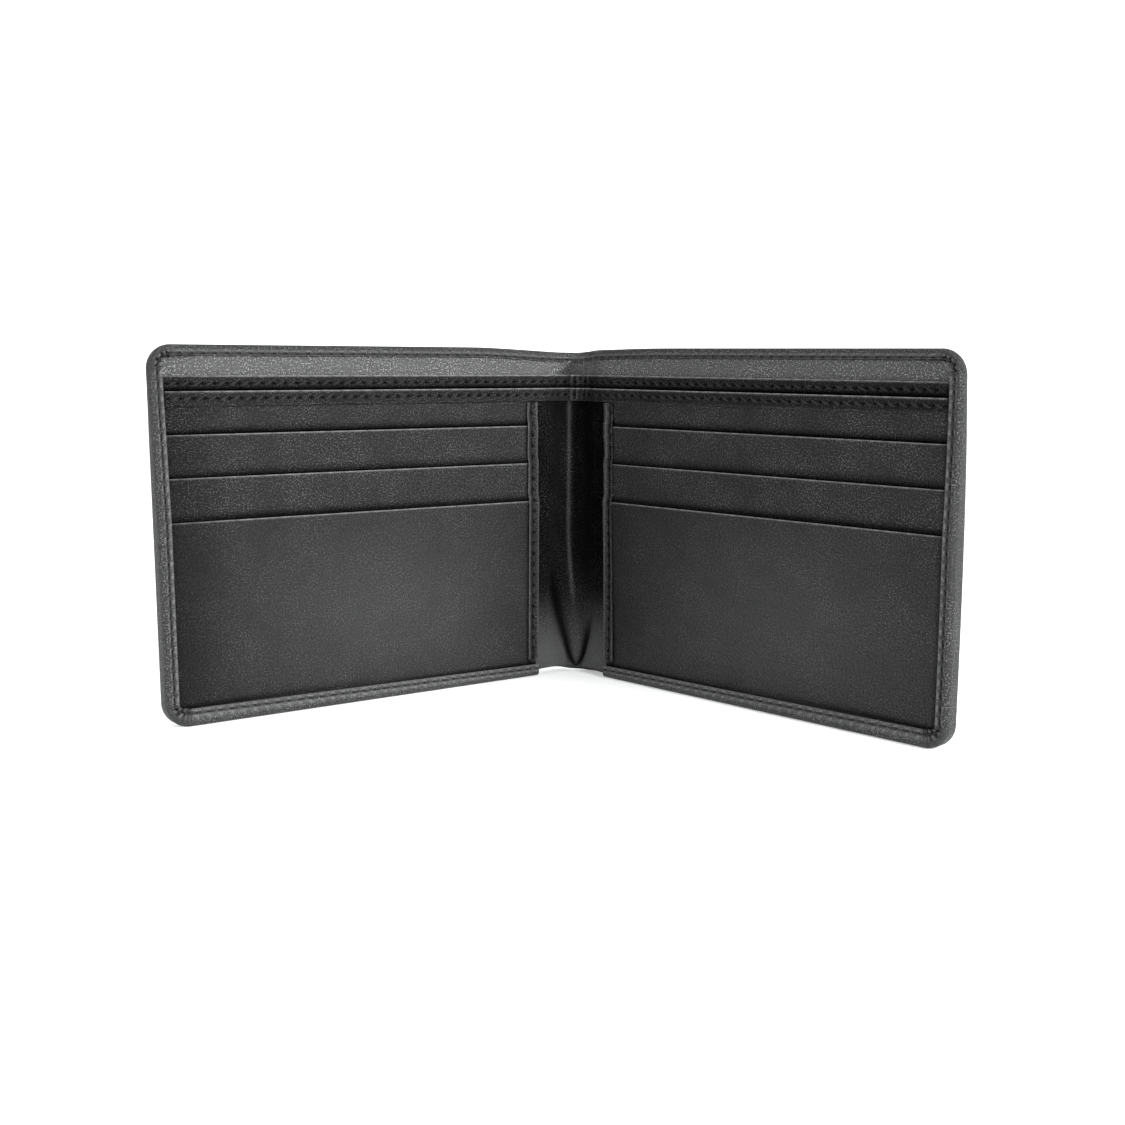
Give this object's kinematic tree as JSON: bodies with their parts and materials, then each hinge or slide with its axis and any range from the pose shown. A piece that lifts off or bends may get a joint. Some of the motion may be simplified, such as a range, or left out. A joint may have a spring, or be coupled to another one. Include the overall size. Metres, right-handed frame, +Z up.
{
  "type": "bifold wallet",
  "caption": "Bifold leather wallet, half open, with stepped card pockets on both leaves and a note compartment behind them.",
  "frame": {"origin": "middle of the footprint, on the surface that the wallet stands on", "axes": "+Z up along the spine, +X from the left leaf to the right leaf, +Y out through the back of the spine, so the card pockets face -Y; mirror-symmetric about the YZ plane"},
  "size_m": [0.1902, 0.078, 0.092],
  "materials": {
    "cover_leather": "smooth charcoal grey leather with a fine grain and a soft sheen",
    "black_leather": "smooth black leather with a fine grain and a satin sheen",
    "lining_fabric": "thin black woven lining",
    "grey_thread": "twisted dark grey sewing thread",
    "black_thread": "twisted black sewing thread"
  },
  "bodies": {
    "spine": {"spine_cover": "cover_leather", "spine_cover_top_facing": "cover_leather", "spine_note_lining": "lining_fabric", "spine_note_divider": "black_leather", "spine_inner_wall": "black_leather", "spine_top_binding": "black_leather", "spine_facing_thread": "grey_thread", "spine_divider_thread": "black_thread", "spine_top_binding_thread": "black_thread"},
    "left_leaf": {"left_cover": "cover_leather", "left_cover_top_facing": "cover_leather", "left_note_lining": "lining_fabric", "left_note_divider": "black_leather", "left_inner_wall": "black_leather", "left_panel_backing": "black_leather", "left_card_pocket_1": "black_leather", "left_card_pocket_1_fabric": "lining_fabric", "left_card_pocket_1_seam": "black_thread", "left_card_pocket_2": "black_leather", "left_card_pocket_2_fabric": "lining_fabric", "left_card_pocket_2_seam": "black_thread", "left_card_pocket_3": "black_leather", "left_panel_top_binding": "black_leather", "left_panel_side_binding": "black_leather", "left_edge_thread": "grey_thread", "left_facing_thread": "grey_thread", "left_divider_thread": "black_thread", "left_top_binding_thread": "black_thread", "left_side_binding_thread": "black_thread"},
    "right_leaf": {"right_cover": "cover_leather", "right_cover_top_facing": "cover_leather", "right_note_lining": "lining_fabric", "right_note_divider": "black_leather", "right_inner_wall": "black_leather", "right_panel_backing": "black_leather", "right_card_pocket_1": "black_leather", "right_card_pocket_1_fabric": "lining_fabric", "right_card_pocket_1_seam": "black_thread", "right_card_pocket_2": "black_leather", "right_card_pocket_2_fabric": "lining_fabric", "right_card_pocket_2_seam": "black_thread", "right_card_pocket_3": "black_leather", "right_panel_top_binding": "black_leather", "right_panel_side_binding": "black_leather", "right_edge_thread": "grey_thread", "right_facing_thread": "grey_thread", "right_divider_thread": "black_thread", "right_top_binding_thread": "black_thread", "right_side_binding_thread": "black_thread"}
  },
  "joints": [
    {"name": "left_fold", "type": "hinge", "parent": "spine", "child": "left_leaf", "pos_m": [-0.00535, 0.03864, 0], "axis": [0, 0, 1], "range_deg": [-39.5, 50.5]},
    {"name": "right_fold", "type": "hinge", "parent": "spine", "child": "right_leaf", "pos_m": [0.00535, 0.03864, 0], "axis": [0, 0, -1], "range_deg": [-39.5, 50.5]}
  ]
}
